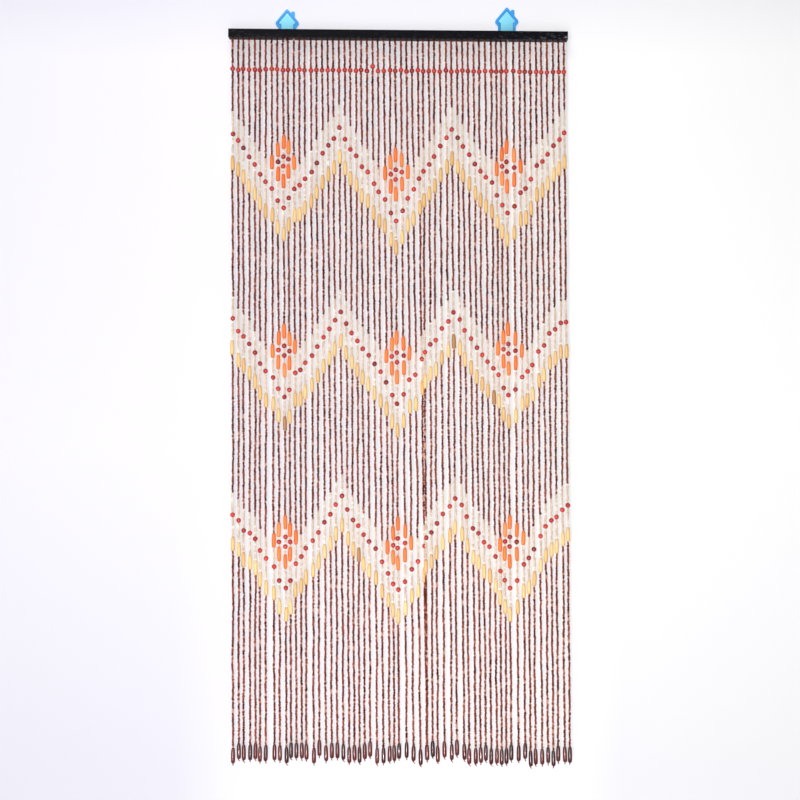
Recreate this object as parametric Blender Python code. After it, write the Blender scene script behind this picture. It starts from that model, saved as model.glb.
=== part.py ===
# Bead curtain on a head rail, hung from two wall hooks. Metres, +Z up.
# The wall is the plane y = 0, and the curtain hangs on its -Y side.
# The origin is on the wall, level with the top of the rail's middle.
import random
from math import cos, pi, radians, sin, sqrt, tan

import bmesh
import bpy
from mathutils import Vector

MM = 0.001
GAP = 0.3 * MM                   # left between pieces that touch

RAIL_LENGTH = 900 * MM
RAIL_DEPTH = 26 * MM
RAIL_HEIGHT = 22 * MM
RAIL_Y = -26 * MM                # middle of the rail, out from the wall
RAIL_EDGE = 0.9 * MM
RAIL_TILT = radians(0.49)        # the right end hangs lower

STRIP_WIDTH = 6.4 * MM           # the strands are rooted in strips let into the rail
STRIP_HEIGHT = 4.6 * MM

STRANDS = 60
PANEL_STRANDS = 20               # strands on one strip, one repeat of the pattern
PANELS = ("left", "middle", "right")
PITCH = 14.93 * MM
STRAND_WIDTH = 5.4 * MM          # a run of small beads
KNOT_WIDTH = 2.2 * MM
KNOT_LENGTH = 3.8 * MM
SWAY = 1.6 * MM                  # how far tips wander to and from the wall

# Large beads: length, width, then depth and width at their shoulders as shares of half
# the length and of the width.
BEADS = {
    "round": (12.8 * MM, 12.8 * MM, ((0.0, 1.0),)),
    "long": (39.4 * MM, 11.0 * MM, ((-0.62, 0.9), (0.66, 1.0))),
    "tip": (42.0 * MM, 11.2 * MM, ((-0.6, 0.82), (0.64, 1.0))),
}

TOP_ROW = 104.6 * MM             # the straight row of round beads, below the rail's top
TOP_ROW_FALL = 7.2 * MM          # from its left end to its right end
HIGH_STRAND = 25                 # its bead in the top row is strung a little high
HIGH_STEP = 11 * MM

# How each strand is strung and hangs, from left to right, in millimetres:
# root and tip to the right of their even places, then below the rail's top the round
# bead of the first, second and third zigzag, and the middle of the tip bead.
ROOT, TIP, END = 0, 1, 5         # columns of the table
ZIGZAGS = (2, 3, 4)
STRUNG = (
    (0.5, 1.5, 273, 763, 1285, 1925),
    (0.5, 2.0, 290, 797, 1300, 1913),
    (-1.0, 0.0, 310, 811, 1327, 1917),
    (-0.5, 2.5, 334, 831, 1334, 1916),
    (0.0, 1.5, 354, 854, 1349, 1913),
    (-1.5, -1.5, 380, 883, 1380, 1921),
    (-1.0, -1.0, 400, 903, 1401, 1918),
    (-0.5, 7.5, 418, 920, 1423, 1916),
    (-0.5, 7.0, 450, 950, 1460, 1918),
    (-0.5, 9.5, 469, 972, 1480, 1924),
    (-2.0, 7.0, 443, 953, 1460, 1910),
    (-1.5, 6.0, 419, 908, 1415, 1911),
    (-2.0, 5.5, 409, 900, 1396, 1911),
    (-2.5, 2.5, 392, 881, 1374, 1915),
    (-0.5, 7.5, 374, 862, 1354, 1925),
    (-1.5, 7.5, 350, 838, 1332, 1904),
    (-1.0, 10.0, 324, 813, 1305, 1919),
    (-1.0, 10.5, 303, 791, 1284, 1912),
    (-1.5, 10.5, 285, 768, 1258, 1911),
    (-1.0, 11.5, 256, 746, 1235, 1915),
    (-1.0, 12.0, 287, 777, 1271, 1923),
    (-1.5, 11.0, 314, 802, 1299, 1917),
    (-0.5, 9.5, 331, 823, 1314, 1923),
    (-1.5, 8.5, 360, 844, 1338, 1913),
    (-1.0, 8.0, 374, 861, 1356, 1907),
    (-1.0, 11.5, 405, 884, 1375, 1925),
    (-2.0, 13.5, 427, 905, 1410, 1924),
    (-1.0, 15.0, 447, 933, 1441, 1920),
    (0.0, 12.5, 483, 967, 1469, 1918),
    (-0.5, 10.0, 504, 990, 1484, 1913),
    (-0.5, 15.5, 477, 965, 1463, 1910),
    (-1.0, 19.0, 444, 926, 1430, 1919),
    (-1.5, 22.5, 420, 913, 1409, 1929),
    (-1.0, 25.0, 391, 871, 1370, 1921),
    (-1.5, 10.5, 372, 853, 1346, 1917),
    (-1.0, 10.0, 354, 832, 1332, 1907),
    (-2.0, 8.5, 333, 821, 1308, 1921),
    (-1.5, 11.5, 305, 790, 1283, 1909),
    (-0.5, 16.0, 283, 771, 1263, 1916),
    (-1.0, 15.0, 261, 747, 1242, 1904),
    (-1.0, 19.5, 283, 766, 1259, 1915),
    (-2.0, 17.5, 306, 795, 1290, 1926),
    (-2.0, 20.0, 328, 817, 1321, 1926),
    (-1.5, 18.5, 353, 841, 1334, 1923),
    (-2.0, 17.0, 372, 860, 1358, 1917),
    (-1.0, 16.5, 388, 878, 1370, 1927),
    (0.0, 16.5, 402, 896, 1396, 1925),
    (-1.5, 14.5, 436, 913, 1435, 1929),
    (-3.0, 12.0, 462, 948, 1459, 1926),
    (-4.5, 10.0, 483, 967, 1480, 1917),
    (-0.5, 14.5, 465, 952, 1460, 1919),
    (1.0, 17.0, 429, 919, 1417, 1912),
    (-0.5, 16.5, 418, 904, 1400, 1932),
    (-0.5, 15.0, 393, 887, 1377, 1928),
    (0.0, 17.5, 357, 851, 1342, 1928),
    (-1.0, 18.5, 346, 835, 1316, 1924),
    (-1.0, 17.5, 327, 803, 1300, 1932),
    (0.5, 15.0, 304, 792, 1291, 1919),
    (0.5, 18.0, 288, 775, 1272, 1922),
    (-0.5, 16.5, 270, 773, 1260, 1923),
)
VALLEYS = (9, 29, 49)            # strands where the zigzags are lowest
BEHIND_STRAND = 33               # hangs behind its right neighbour at the bottom
BEHIND = 15.0 * MM

# The diamond over each valley, from the zigzag's round bead up, in millimetres:
# strands away from the valley, then kind and height of each large bead.
DIAMOND = {
    0: (("long", 175.8), ("round", 136.0), ("round", 110.3), ("long", 70.8)),
    1: (("long", 135.2), ("round", 102.9), ("long", 70.9)),
    2: (("long", 70.5),),
}
STRAW_DROP = 76.8 * MM           # the long bead under each round bead of the zigzag
VALLEY_DROP = 69.8 * MM          # the same where the zigzag turns

# Wall hooks: side, x, height of the roof's top over the rail's top.
HOOKS = (
    ("left", -297 * MM, 68 * MM),
    ("right", 291 * MM, 72.5 * MM),
)
PLATE_THICK = 5.0 * MM
RECESS_DEPTH = 2.4 * MM
PANEL_THICK = 1.1 * MM
PANEL_INSET = 1.3 * MM           # leaves a groove round the inlay
# House outlines in millimetres, right half, down from the roof's top: out, down.
HOUSE = ((0, 0), (31.8, 37.5), (30.8, 44), (26.5, 47.5), (23.7, 48.5), (23.7, 83))
HOUSE_RECESS = ((0, 9.4), (25, 38.4), (17.6, 43.2), (17.6, 67))
CHIMNEY_X = (11.0, 20.3)
CHIMNEY_TOP = 4.8
CORNER = 2.2 * MM                # rounding of the plate's corners
SEAT_DROP = 71 * MM              # the prong's top, below the roof's top
PRONG_WIDTH = 4.0 * MM
PRONG_THICK = 3.0 * MM
PRONG_REACH = 12.4 * MM          # out from the wall
LIP_THICK = 2.4 * MM
LIP_RISE = 3.4 * MM

CORD_RADIUS = 0.8 * MM           # the ties that hang the rail on the prongs
TIE_HOLE_RADIUS = 1.5 * MM
TIE_KNOT_RADIUS = 2.1 * MM
TIE_HOLE_UNDER = -18.5 * MM      # y of the hole in the rail's underside
TIE_HOLE_BACK = 16 * MM          # height of the hole in its back, below its top
TIE_LOOP_Y = -7.6 * MM
TIE_JOIN = Vector((0, -10.8 * MM, -14.2 * MM))
TIE_SPREAD = 1.8 * MM            # below the prong, where the loop's legs stand apart


def clear_scene():
    for obj in list(bpy.data.objects):
        bpy.data.objects.remove(obj, do_unlink=True)


def material(name, colour, roughness, metallic=0.0):
    made = bpy.data.materials.new(name)
    made.use_nodes = True
    shader = made.node_tree.nodes["Principled BSDF"]
    shader.inputs["Base Color"].default_value = (*colour, 1.0)
    shader.inputs["Roughness"].default_value = roughness
    shader.inputs["Metallic"].default_value = metallic
    return made


def object_from(bm, name, finish=None):
    mesh = bpy.data.meshes.new(name)
    bmesh.ops.recalc_face_normals(bm, faces=bm.faces)
    bm.to_mesh(mesh)
    bm.free()
    obj = bpy.data.objects.new(name, mesh)
    bpy.context.collection.objects.link(obj)
    if finish:
        mesh.materials.append(finish)
    return obj


def box(low, high):
    bm = bmesh.new()
    bmesh.ops.create_cube(bm, size=1.0)
    middle = (Vector(low) + Vector(high)) / 2
    size = Vector(high) - Vector(low)
    bmesh.ops.scale(bm, vec=size, verts=bm.verts)
    bmesh.ops.translate(bm, vec=middle, verts=bm.verts)
    return bm


def hidden(obj):
    obj.hide_render = True
    obj.display_type = "WIRE"
    return obj


def boolean(obj, operand, operation):
    change = obj.modifiers.new(operand.name, "BOOLEAN")
    change.operation = operation
    change.solver = "EXACT"
    change.object = hidden(operand)


def tube(name, points, radius, cyclic=False, finish=None):
    curve = bpy.data.curves.new(name, "CURVE")
    curve.dimensions = "3D"
    curve.bevel_depth = radius
    curve.bevel_resolution = 2
    curve.use_fill_caps = not cyclic
    spline = curve.splines.new("POLY")
    spline.points.add(len(points) - 1)
    for place, point in zip(spline.points, points):
        place.co = (*point, 1.0)
    spline.use_cyclic_u = cyclic
    source = bpy.data.objects.new(name + "_path", curve)
    bpy.context.collection.objects.link(source)
    bpy.context.view_layer.update()
    graph = bpy.context.evaluated_depsgraph_get()
    mesh = bpy.data.meshes.new_from_object(source.evaluated_get(graph))
    bpy.data.objects.remove(source, do_unlink=True)
    mesh.name = name
    mesh.materials.clear()
    if finish:
        mesh.materials.append(finish)
    obj = bpy.data.objects.new(name, mesh)
    bpy.context.collection.objects.link(obj)
    return obj


# The rail.

def make_rail(finish):
    half = RAIL_LENGTH / 2
    front = RAIL_Y - RAIL_DEPTH / 2
    back = RAIL_Y + RAIL_DEPTH / 2
    rail = object_from(box((-half, front, -RAIL_HEIGHT), (half, back, 0)), "rail", finish)
    rail.rotation_euler.y = RAIL_TILT
    eased = rail.modifiers.new("eased edges", "BEVEL")
    eased.width = RAIL_EDGE
    eased.segments = 2
    eased.limit_method = "ANGLE"

    # A blind groove along the underside takes the strips.
    groove_half = STRANDS * PITCH / 2 + GAP
    groove_width = STRIP_WIDTH / 2 + GAP
    groove = box((-groove_half, RAIL_Y - groove_width, -RAIL_HEIGHT - 5 * MM),
                 (groove_half, RAIL_Y + groove_width, -RAIL_HEIGHT + STRIP_HEIGHT + GAP))
    cutter = object_from(groove, "groove_cutter")
    cutter.rotation_euler.y = RAIL_TILT
    boolean(rail, cutter, "DIFFERENCE")

    # Slanting holes for the ties, from the underside to the back.
    for side, x, top in HOOKS:
        low, high = tie_hole(x)
        along = (high - low).normalized() * 6 * MM
        hole = tube("tie_hole_" + side, (low - along, high + along), TIE_HOLE_RADIUS)
        boolean(rail, hole, "DIFFERENCE")


def rail_top(x):
    return -x * tan(RAIL_TILT)


def tie_hole(x):
    top = rail_top(x)
    low = Vector((x, TIE_HOLE_UNDER, top - RAIL_HEIGHT))
    high = Vector((x, RAIL_Y + RAIL_DEPTH / 2, top - TIE_HOLE_BACK))
    return low, high


# The strands.

def bead_chart(strand):
    """The strand's large beads, top to bottom: kind, middle below the rail's top."""
    from_valley = min(abs(strand - valley) for valley in VALLEYS)
    fall = TOP_ROW_FALL * (strand / (STRANDS - 1) - 0.5)
    high = HIGH_STEP if strand == HIGH_STRAND else 0
    beads = [("round", TOP_ROW + fall - high)]
    for column in ZIGZAGS:
        middle = STRUNG[strand][column] * MM
        for kind, above in DIAMOND.get(from_valley, ()):
            beads.append((kind, middle - above * MM))
        beads.append(("round", middle))
        drop = VALLEY_DROP if from_valley < 3 else STRAW_DROP
        beads.append(("long", middle + drop))
    beads.append(("tip", STRUNG[strand][END] * MM))
    return beads


def even_x(strand):
    return (strand - (STRANDS - 1) / 2) * PITCH


def strand_rings(strand):
    """Heights below the rail's top, with the strand's width at each."""
    start = RAIL_HEIGHT - STRIP_HEIGHT / 2 - rail_top(even_x(strand))
    rings = [(start, STRAND_WIDTH)]
    for kind, middle in bead_chart(strand):
        length, width, shoulders = BEADS[kind]
        rings.append((middle - length / 2, STRAND_WIDTH))
        rings += [(middle + share * length / 2, width * part) for share, part in shoulders]
        rings.append((middle + length / 2, STRAND_WIDTH))
    rings.append((rings[-1][0] + KNOT_LENGTH, KNOT_WIDTH))
    return rings


def add_strand(bm, strand, noise):
    """A three-sided strand with its flat side to the front, leaning as it hangs."""
    rings = strand_rings(strand)
    start, end = rings[0][0], rings[-1][0]
    root = even_x(strand) + STRUNG[strand][ROOT] * MM
    tip = even_x(strand) + STRUNG[strand][TIP] * MM
    sway = BEHIND if strand == BEHIND_STRAND else noise.uniform(-SWAY, SWAY)
    loops = []
    for depth, width in rings:
        share = (depth - start) / (end - start)
        radius = width / sqrt(3)
        x = root + (tip - root) * share
        y = RAIL_Y + sway * share - radius / 4
        loop = []
        for angle in (-5 * pi / 6, -pi / 6, pi / 2):
            place = (x + radius * cos(angle), y + radius * sin(angle), -depth)
            loop.append(bm.verts.new(place))
        loops.append(loop)
    for upper, lower in zip(loops, loops[1:]):
        for side in range(3):
            after = (side + 1) % 3
            bm.faces.new((upper[side], lower[side], lower[after], upper[after]))
    bm.faces.new(loops[0])
    bm.faces.new(reversed(loops[-1]))


def make_strands(finish):
    noise = random.Random(11)
    for number, panel in enumerate(PANELS):
        first = number * PANEL_STRANDS
        left = even_x(first) - PITCH / 2 + GAP / 2
        right = left + PANEL_STRANDS * PITCH - GAP
        body = box((left, RAIL_Y - STRIP_WIDTH / 2, -RAIL_HEIGHT),
                   (right, RAIL_Y + STRIP_WIDTH / 2, -RAIL_HEIGHT + STRIP_HEIGHT))
        strip = object_from(body, "strands_" + panel, finish)
        strip.rotation_euler.y = RAIL_TILT
        bm = bmesh.new()
        for strand in range(first, first + PANEL_STRANDS):
            add_strand(bm, strand, noise)
        boolean(strip, object_from(bm, "hanging_" + panel), "UNION")


# The wall hooks.

def house_outline(half, x, top, inset=0.0):
    """A whole outline from its right half, in the XZ plane."""
    right = [(x + out * MM, top - down * MM) for out, down in half]
    left = [(x - out * MM, top - down * MM) for out, down in reversed(half) if out]
    points = right + left
    if not inset:
        return points
    moved = []
    for number, (px, pz) in enumerate(points):
        ax, az = points[number - 1]
        bx, bz = points[(number + 1) % len(points)]
        before = Vector((px - ax, pz - az)).normalized()
        after = Vector((bx - px, bz - pz)).normalized()
        inward = Vector((before.y, -before.x)) + Vector((after.y, -after.x))
        inward *= inset / (1 + before.dot(after))
        moved.append((px + inward.x, pz + inward.y))
    return moved


def slab(outline, back, front, corner=0.0):
    """An outline in the XZ plane made solid from y = back to y = front."""
    bm = bmesh.new()
    face = bm.faces.new([bm.verts.new((px, back, pz)) for px, pz in outline])
    made = bmesh.ops.extrude_face_region(bm, geom=[face])
    grown = [item for item in made["geom"] if isinstance(item, bmesh.types.BMVert)]
    bmesh.ops.translate(bm, vec=(0, front - back, 0), verts=grown)
    if corner:
        upright = [edge for edge in bm.edges
                   if abs(edge.verts[0].co.y - edge.verts[1].co.y) > abs(front - back) / 2]
        bmesh.ops.bevel(bm, geom=upright, offset=corner, segments=2, affect="EDGES")
    return bm


def make_hook(side, x, top, blue, pale):
    plate = object_from(slab(house_outline(HOUSE, x, top), 0, -PLATE_THICK, CORNER),
                        "hook_" + side, blue)
    near, far = (x + out * MM for out in CHIMNEY_X)
    stack = box((near, -PLATE_THICK, top - 26 * MM), (far, 0, top - CHIMNEY_TOP * MM))
    boolean(plate, object_from(stack, "chimney_" + side), "UNION")

    floor = -PLATE_THICK + RECESS_DEPTH
    recess = slab(house_outline(HOUSE_RECESS, x, top), floor, -PLATE_THICK - 5 * MM)
    boolean(plate, object_from(recess, "recess_" + side), "DIFFERENCE")

    # The prong runs out from the plate and turns up at its end.
    seat = top - SEAT_DROP
    half = PRONG_WIDTH / 2
    root = -PLATE_THICK + 1 * MM
    lip = -PRONG_REACH + LIP_THICK
    bm = bmesh.new()
    profile = ((root, seat), (lip, seat), (lip, seat + LIP_RISE),
               (-PRONG_REACH, seat + LIP_RISE), (-PRONG_REACH, seat - PRONG_THICK),
               (root, seat - PRONG_THICK))
    face = bm.faces.new([bm.verts.new((x - half, py, pz)) for py, pz in profile])
    made = bmesh.ops.extrude_face_region(bm, geom=[face])
    grown = [item for item in made["geom"] if isinstance(item, bmesh.types.BMVert)]
    bmesh.ops.translate(bm, vec=(PRONG_WIDTH, 0, 0), verts=grown)
    boolean(plate, object_from(bm, "prong_" + side), "UNION")

    inlay = house_outline(HOUSE_RECESS, x, top, inset=PANEL_INSET)
    object_from(slab(inlay, floor - GAP, floor - GAP - PANEL_THICK), "hook_panel_" + side, pale)


def make_tie(side, x, top, finish):
    """A tie knotted under the rail, led out of its back and looped over the prong."""
    low, high = tie_hole(x)
    start = Vector((x, 0, rail_top(x)))
    join = start + TIE_JOIN
    knot = low - Vector((0, 0.4 * MM, TIE_KNOT_RADIUS + GAP))
    tail = knot - Vector((1.2 * MM, 0.6 * MM, 6.0 * MM))
    tie = tube("tie_" + side, (tail, knot, low, high, join), CORD_RADIUS, finish=finish)

    # The loop: two legs that pass the prong and an arch over it.
    reach = PRONG_WIDTH / 2 + GAP + CORD_RADIUS
    seat = top - SEAT_DROP + GAP + CORD_RADIUS
    arch = [Vector((x + reach * cos(angle), TIE_LOOP_Y, seat - reach / 2 + reach * sin(angle)))
            for angle in (step * pi / 8 for step in range(9))]
    spread = top - SEAT_DROP - PRONG_THICK - TIE_SPREAD
    legs = [Vector((x + out, TIE_LOOP_Y, spread)) for out in (reach, -reach)]
    loop = tube("tie_loop_" + side, [join, legs[0]] + arch + [legs[1]], CORD_RADIUS, cyclic=True)
    boolean(tie, loop, "UNION")
    ball = bmesh.new()
    bmesh.ops.create_icosphere(ball, subdivisions=2, radius=TIE_KNOT_RADIUS)
    bmesh.ops.translate(ball, vec=knot, verts=ball.verts)
    boolean(tie, object_from(ball, "tie_knot_" + side), "UNION")


def main():
    clear_scene()
    make_rail(material("black stained wood", (0.012, 0.012, 0.015), 0.42))
    make_strands(material("brown beads", (0.19, 0.04, 0.025), 0.4))
    blue = material("blue plastic", (0.05, 0.33, 0.86), 0.4)
    pale = material("pale blue plastic", (0.25, 0.76, 0.95), 0.45)
    cord = material("light cord", (0.62, 0.6, 0.56), 0.8)
    for side, x, top in HOOKS:
        make_hook(side, x, top, blue, pale)
        make_tie(side, x, top, cord)


main()
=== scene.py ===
import math
import random

import bpy
import numpy as np
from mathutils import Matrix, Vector


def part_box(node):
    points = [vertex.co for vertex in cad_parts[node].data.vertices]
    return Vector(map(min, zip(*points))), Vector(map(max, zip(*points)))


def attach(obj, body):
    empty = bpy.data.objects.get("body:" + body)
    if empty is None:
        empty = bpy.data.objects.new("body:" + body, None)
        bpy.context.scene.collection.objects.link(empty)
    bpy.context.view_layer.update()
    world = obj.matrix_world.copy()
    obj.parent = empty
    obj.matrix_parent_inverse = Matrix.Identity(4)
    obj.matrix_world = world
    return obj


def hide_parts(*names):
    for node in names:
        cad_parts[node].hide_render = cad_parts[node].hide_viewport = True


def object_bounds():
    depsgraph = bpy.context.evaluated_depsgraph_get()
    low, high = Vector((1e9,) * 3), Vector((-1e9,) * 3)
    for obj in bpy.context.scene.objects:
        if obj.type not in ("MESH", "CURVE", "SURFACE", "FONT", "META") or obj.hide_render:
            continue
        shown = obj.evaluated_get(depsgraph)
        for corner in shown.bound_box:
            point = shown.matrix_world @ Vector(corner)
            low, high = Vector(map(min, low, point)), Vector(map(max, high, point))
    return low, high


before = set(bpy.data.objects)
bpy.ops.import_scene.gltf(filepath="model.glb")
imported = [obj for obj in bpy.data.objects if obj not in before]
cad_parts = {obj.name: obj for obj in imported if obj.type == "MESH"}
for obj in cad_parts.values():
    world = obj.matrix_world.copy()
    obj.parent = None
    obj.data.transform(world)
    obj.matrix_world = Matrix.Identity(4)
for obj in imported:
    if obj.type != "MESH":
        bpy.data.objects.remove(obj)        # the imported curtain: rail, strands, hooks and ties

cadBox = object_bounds()
mm = 0.001
panels = ("left", "middle", "right")
sides = ("left", "right")
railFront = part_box("rail")[0].y

# How the strings are made up. Lengths are in millimetres unless they say otherwise.
curtain = {
    "strands": 60,
    "pitch": 14.93,
    "strandsOnStrip": 20,
    "railTilt": math.radians(0.49),      # the right end hangs lower
    "railHeight": 22,
    "stringsFromWall": 26,
    "topRow": 104.6,                     # below the rail's top, like all drops
    "topRowFall": 7.2,                   # from its left end to its right end
    "topRowJitter": 1.8,
    "highStrand": 25,                    # strung a little high in the top row
    "highStep": 11,
    "valleys": (9, 29, 49),
    "creamAbove": 59.3,                  # cream beads start this far over the zigzag
    "strawDrop": 76.8,
    "valleyDrop": 69.8,
    "tipSway": 1.6,
    "behindStrand": 33,                  # hangs behind its right neighbour at the bottom
    "behind": 15.0,
    "heldOver": 200,                     # strings stray less this near to either end
    "backSeed": 11,                      # for how far the tips hang to and from the wall
    "seed": 5,
}

# How each strand is strung and hangs, from left to right: root and tip to the right of
# their even places, then below the rail's top the round bead of the first, second and
# third zigzag, and the middle of the tip bead.
strungAs = (
    (0.5, 1.5, 273, 763, 1285, 1925),
    (0.5, 2.0, 290, 797, 1300, 1913),
    (-1.0, 0.0, 310, 811, 1327, 1917),
    (-0.5, 2.5, 334, 831, 1334, 1916),
    (0.0, 1.5, 354, 854, 1349, 1913),
    (-1.5, -1.5, 380, 883, 1380, 1921),
    (-1.0, -1.0, 400, 903, 1401, 1918),
    (-0.5, 7.5, 418, 920, 1423, 1916),
    (-0.5, 7.0, 450, 950, 1460, 1918),
    (-0.5, 9.5, 469, 972, 1480, 1924),
    (-2.0, 7.0, 443, 953, 1460, 1910),
    (-1.5, 6.0, 419, 908, 1415, 1911),
    (-2.0, 5.5, 409, 900, 1396, 1911),
    (-2.5, 2.5, 392, 881, 1374, 1915),
    (-0.5, 7.5, 374, 862, 1354, 1925),
    (-1.5, 7.5, 350, 838, 1332, 1904),
    (-1.0, 10.0, 324, 813, 1305, 1919),
    (-1.0, 10.5, 303, 791, 1284, 1912),
    (-1.5, 10.5, 285, 768, 1258, 1911),
    (-1.0, 11.5, 256, 746, 1235, 1915),
    (-1.0, 12.0, 287, 777, 1271, 1923),
    (-1.5, 11.0, 314, 802, 1299, 1917),
    (-0.5, 9.5, 331, 823, 1314, 1923),
    (-1.5, 8.5, 360, 844, 1338, 1913),
    (-1.0, 8.0, 374, 861, 1356, 1907),
    (-1.0, 11.5, 405, 884, 1375, 1925),
    (-2.0, 13.5, 427, 905, 1410, 1924),
    (-1.0, 15.0, 447, 933, 1441, 1920),
    (0.0, 12.5, 483, 967, 1469, 1918),
    (-0.5, 10.0, 504, 990, 1484, 1913),
    (-0.5, 15.5, 477, 965, 1463, 1910),
    (-1.0, 19.0, 444, 926, 1430, 1919),
    (-1.5, 22.5, 420, 913, 1409, 1929),
    (-1.0, 25.0, 391, 871, 1370, 1921),
    (-1.5, 10.5, 372, 853, 1346, 1917),
    (-1.0, 10.0, 354, 832, 1332, 1907),
    (-2.0, 8.5, 333, 821, 1308, 1921),
    (-1.5, 11.5, 305, 790, 1283, 1909),
    (-0.5, 16.0, 283, 771, 1263, 1916),
    (-1.0, 15.0, 261, 747, 1242, 1904),
    (-1.0, 19.5, 283, 766, 1259, 1915),
    (-2.0, 17.5, 306, 795, 1290, 1926),
    (-2.0, 20.0, 328, 817, 1321, 1926),
    (-1.5, 18.5, 353, 841, 1334, 1923),
    (-2.0, 17.0, 372, 860, 1358, 1917),
    (-1.0, 16.5, 388, 878, 1370, 1927),
    (0.0, 16.5, 402, 896, 1396, 1925),
    (-1.5, 14.5, 436, 913, 1435, 1929),
    (-3.0, 12.0, 462, 948, 1459, 1926),
    (-4.5, 10.0, 483, 967, 1480, 1917),
    (-0.5, 14.5, 465, 952, 1460, 1919),
    (1.0, 17.0, 429, 919, 1417, 1912),
    (-0.5, 16.5, 418, 904, 1400, 1932),
    (-0.5, 15.0, 393, 887, 1377, 1928),
    (0.0, 17.5, 357, 851, 1342, 1928),
    (-1.0, 18.5, 346, 835, 1316, 1924),
    (-1.0, 17.5, 327, 803, 1300, 1932),
    (0.5, 15.0, 304, 792, 1291, 1919),
    (0.5, 18.0, 288, 775, 1272, 1922),
    (-0.5, 16.5, 270, 773, 1260, 1923),
)

# The diamond over each valley: strands away from it, then kind and height of each bead.
diamond = {
    0: (("orange", 175.8), ("round", 136.0), ("round", 110.3), ("orange", 70.8)),
    1: (("orange", 135.2), ("round", 102.9), ("orange", 70.9)),
    2: (("orange", 70.5),),
}

# Bead shapes: length, width, sides, and the turned profile as (along, out) shares,
# from the bead's lower end up.
beads = {
    "small": {
        "length": 6.0, "width": 6.5, "sides": 6,
        "profile": ((-1, 0.62), (-0.62, 1), (0.62, 1), (1, 0.62)),
    },
    "round": {
        "length": 12.7, "width": 13.2, "sides": 12,
        "profile": ((-1, 0.24), (-0.84, 0.6), (-0.45, 0.92), (0, 1),
                    (0.45, 0.92), (0.84, 0.6), (1, 0.24)),
    },
    "orange": {
        "length": 38.8, "width": 11.4, "sides": 12,
        "profile": ((-1, 0.56), (-0.95, 0.78), (-0.78, 0.94), (-0.4, 1),
                    (0.3, 0.99), (0.72, 0.9), (0.94, 0.7), (1, 0.48)),
    },
    "straw": {
        "length": 38.8, "width": 11.3, "sides": 12,
        "profile": ((-1, 0.82), (-0.96, 0.94), (-0.82, 0.99), (-0.4, 1),
                    (0.15, 0.98), (0.6, 0.88), (0.93, 0.68), (1, 0.5)),
    },
    "tip": {
        "length": 42.0, "width": 11.7, "sides": 12,
        "profile": ((-1, 0.5), (-0.96, 0.74), (-0.8, 0.95), (-0.4, 1),
                    (0.2, 0.98), (0.68, 0.88), (0.94, 0.66), (1, 0.46)),
    },
    "knot": {
        "length": 4.0, "width": 2.8, "sides": 7,
        "profile": ((-1, 0.35), (-0.55, 0.7), (0.1, 0.72), (0.5, 1), (1, 0.5)),
    },
    "thread": {
        "length": 1.0, "width": 1.3, "sides": 5,
        "profile": ((-1, 1), (1, 1)),
    },
}

smallBeads = {
    "brownLength": (4.6, 8.2),
    "paleLength": (2.4, 4.4),            # short lighter beads among the brown
    "paleShare": (0.1, 0.24),            # at the top and at the bottom
    "creamLength": (4.6, 6.4),
    "width": (0.84, 1.08),
    "creamWider": 1.08,                  # cream ones beside the brown
    "gap": (0.1, 0.45),
    "play": 0.6,                         # sideways, on the thread
    "tilt": 0.2,
    "alike": (1, 4),                     # beads in a stretch of like tone
    "stretchTone": (0.1, 0.8),           # middle tone of a stretch
    "spread": 0.35,                      # how far tones differ within a stretch
    "mostTone": 0.93,                    # past this comes the odd colour
    "whiteShare": 0.4,                   # of cream beads next to a large one
}

largeBeads = {
    "width": (0.95, 1.02),
    "length": (0.97, 1.0),
    "play": 0.2,
    "tilt": 0.02,
    "roundTilt": 0.06,
    "mostTone": 0.85,
    "paleTone": 0.9,
    "brownTone": 1.0,
}

stringEnds = {
    "play": 0.3,
    "knotBelow": 1.2,                    # under the tip bead
    "knotWidth": (0.85, 1.2),
    "knotTilt": 0.3,
    "tailBelow": 3.4,
    "tailWidth": 2.5,                    # times the thread's
    "tailLength": (4, 7),
    "tailSlant": (-1.1, 0.3),            # mostly down to the right
    "tailSlantBack": (-0.4, 0.4),
    "threadPiece": 30,                   # the thread is in straight pieces of this length
    "threadLap": 0.4,
}

# How a string strays from its straight line: waves as length, most sideways.
wander = ((420, 0.9), (210, 0.6), (105, 0.4))

browned = {(2, 9), (2, 39), (2, 46), (3, 22)}    # row and strand of darker straw beads
whitened = {(3, 10), (3, 30)}                    # and of paler, glossier ones


# Making and joining pieces.

def namePiece(name):
    piece = bpy.context.active_object
    piece.name = name
    piece.data.name = name
    return piece


def turnBead(kind):
    # A disc is drawn up ring by ring along the bead's profile.
    bead = beads[kind]
    half, radius = bead["length"] * mm / 2, bead["width"] * mm / 2
    along, out = bead["profile"][0]
    bpy.ops.object.select_all(action="DESELECT")
    bpy.ops.mesh.primitive_circle_add(vertices=bead["sides"], radius=radius * out,
                                      fill_type="NGON", location=(0, 0, along * half))
    piece = namePiece("bead_" + kind)
    bpy.ops.object.transform_apply(location=True, rotation=True, scale=True)
    bpy.ops.object.mode_set(mode="EDIT")
    bpy.ops.mesh.select_all(action="SELECT")
    for nextAlong, nextOut in bead["profile"][1:]:
        rise = (nextAlong - along) * half
        bpy.ops.mesh.extrude_region_move(TRANSFORM_OT_translate={"value": (0, 0, rise)})
        grow = nextOut / out
        bpy.ops.transform.resize(value=(grow, grow, 1), center_override=(0, 0, nextAlong * half))
        along, out = nextAlong, nextOut
    bpy.ops.mesh.select_all(action="SELECT")
    bpy.ops.mesh.normals_make_consistent(inside=False)
    bpy.ops.object.mode_set(mode="OBJECT")
    for face in piece.data.polygons:
        face.use_smooth = abs(face.normal.z) < 0.999
    return piece


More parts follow.
